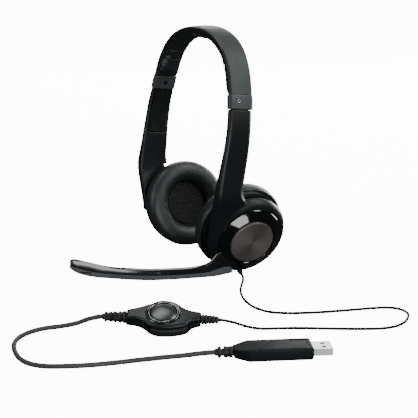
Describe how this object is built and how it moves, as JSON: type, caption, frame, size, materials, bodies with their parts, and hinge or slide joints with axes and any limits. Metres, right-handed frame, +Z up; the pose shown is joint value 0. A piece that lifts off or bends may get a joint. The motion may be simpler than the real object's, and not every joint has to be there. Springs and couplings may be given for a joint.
{
  "type": "office headset",
  "caption": "Over-the-head office headset with soft ear pads, a swinging microphone boom, an in-line remote and a lead that ends in a plug.",
  "frame": {"origin": "on the table below the middle of the headset's box, the lead left out", "axes": "+X forward, +Y to the wearer's left (the microphone's side), +Z up"},
  "size_m": [0.2508, 0.2701, 0.1766],
  "materials": {
    "charcoal_shell": "fine matt texture",
    "satin_black": "satin",
    "gloss_black": "piano gloss",
    "disc_metal": "dark brushed",
    "leatherette": "smooth soft leatherette",
    "speaker_cloth": "black open foam and cloth",
    "steel": "bright",
    "bright_trim": "polished",
    "dull_plastic": "matt",
    "board": "solder resist",
    "film": "clear film",
    "soft_rubber": "soft satin",
    "cord_black": "satin",
    "cord_grey": "satin"
  },
  "bodies": {
    "left_yoke": {"left_arm_and_dish": "satin_black", "left_arm_liner": "satin_black", "left_badge_disc": "disc_metal", "cord_gland": "soft_rubber", "thin_cord": "cord_black", "remote_upper_shell": "satin_black", "remote_lower_shell": "satin_black", "remote_screw": "steel", "remote_bezel": "bright_trim", "remote_board": "board", "mute_switch": "dull_plastic", "remote_outlet_relief": "soft_rubber", "remote_inlet_relief": "soft_rubber", "thick_cord": "cord_grey", "plug_relief": "soft_rubber", "plug_housing": "satin_black", "plug_board": "board", "usb_shell": "steel", "usb_tongue": "gloss_black"},
    "headband": {"headband_outer_shell": "charcoal_shell", "headband_spring": "steel", "headband_liner": "satin_black", "headband_cushion": "leatherette", "left_end_cap": "satin_black", "right_end_cap": "satin_black", "left_cap_screw": "steel", "right_cap_screw": "steel", "left_slider_strip": "dull_plastic", "right_slider_strip": "dull_plastic"},
    "right_yoke": {"right_arm_and_dish": "satin_black", "right_arm_liner": "satin_black", "right_badge_disc": "disc_metal", "right_cover_ring": "gloss_black"},
    "left_gimbal": {"left_pivot_ring": "dull_plastic"},
    "right_gimbal": {"right_pivot_ring": "dull_plastic"},
    "left_cup": {"left_cup_shell": "satin_black", "left_baffle": "dull_plastic", "left_driver_basket": "dull_plastic", "left_driver_magnet": "steel", "left_diaphragm": "film", "left_ear_pad": "leatherette", "left_pad_cloth": "speaker_cloth"},
    "right_cup": {"right_cup_shell": "satin_black", "right_baffle": "dull_plastic", "right_driver_basket": "dull_plastic", "right_driver_magnet": "steel", "right_diaphragm": "film", "right_ear_pad": "leatherette", "right_pad_cloth": "speaker_cloth"},
    "mic_boom": {"boom_hub_and_trim": "gloss_black", "boom_body": "satin_black", "mic_foam": "speaker_cloth", "mic_capsule": "steel"},
    "mute_button": {"mute_button": "gloss_black"},
    "volume_rocker": {"volume_rocker": "soft_rubber"}
  },
  "joints": [
    {"name": "left_slider", "type": "hinge", "parent": "left_yoke", "child": "headband", "pos_m": [-0.0337, -0.0698, 0.097], "axis": [0.9881, 0, 0.154], "range_deg": [0, 12]},
    {"name": "right_slider", "type": "hinge", "parent": "headband", "child": "right_yoke", "pos_m": [-0.0337, 0.0698, 0.097], "axis": [0.9881, 0, 0.154], "range_deg": [0, 12]},
    {"name": "left_swivel", "type": "hinge", "parent": "left_yoke", "child": "left_gimbal", "pos_m": [-0.04794, 0.04814, 0.0301], "axis": [0.0357, 0.283, 0.9584], "range_deg": [-10, 10]},
    {"name": "left_tilt", "type": "hinge", "parent": "left_gimbal", "child": "left_cup", "pos_m": [-0.04794, 0.04814, 0.0301], "axis": [0.9921, -0.1253, 0], "range_deg": [-8, 8]},
    {"name": "right_swivel", "type": "hinge", "parent": "right_yoke", "child": "right_gimbal", "pos_m": [-0.04794, -0.04814, 0.0301], "axis": [0.0357, -0.283, 0.9584], "range_deg": [-1.5, 18.5]},
    {"name": "right_tilt", "type": "hinge", "parent": "right_gimbal", "child": "right_cup", "pos_m": [-0.04794, -0.04814, 0.0301], "axis": [0.999, -0.0166, -0.0422], "range_deg": [-8, 8]},
    {"name": "boom_swing", "type": "hinge", "parent": "left_yoke", "child": "mic_boom", "pos_m": [-0.0471, 0.0548, 0.0281], "axis": [-0.1201, -0.9509, 0.2853], "range_deg": [-5, 110]},
    {"name": "mute_press", "type": "slide", "parent": "left_yoke", "child": "mute_button", "axis": [-0.2037, -0.2748, -0.9397], "range_m": [0, 0.0008], "stiffness_N_per_m": 350, "springref_m": -0.0006},
    {"name": "volume_rock", "type": "hinge", "parent": "left_yoke", "child": "volume_rocker", "pos_m": [0.06014, 0.12368, 0.00549], "axis": [0.2037, 0.2748, 0.9397], "range_deg": [-3, 3], "stiffness_Nm_per_rad": 0.06}
  ]
}
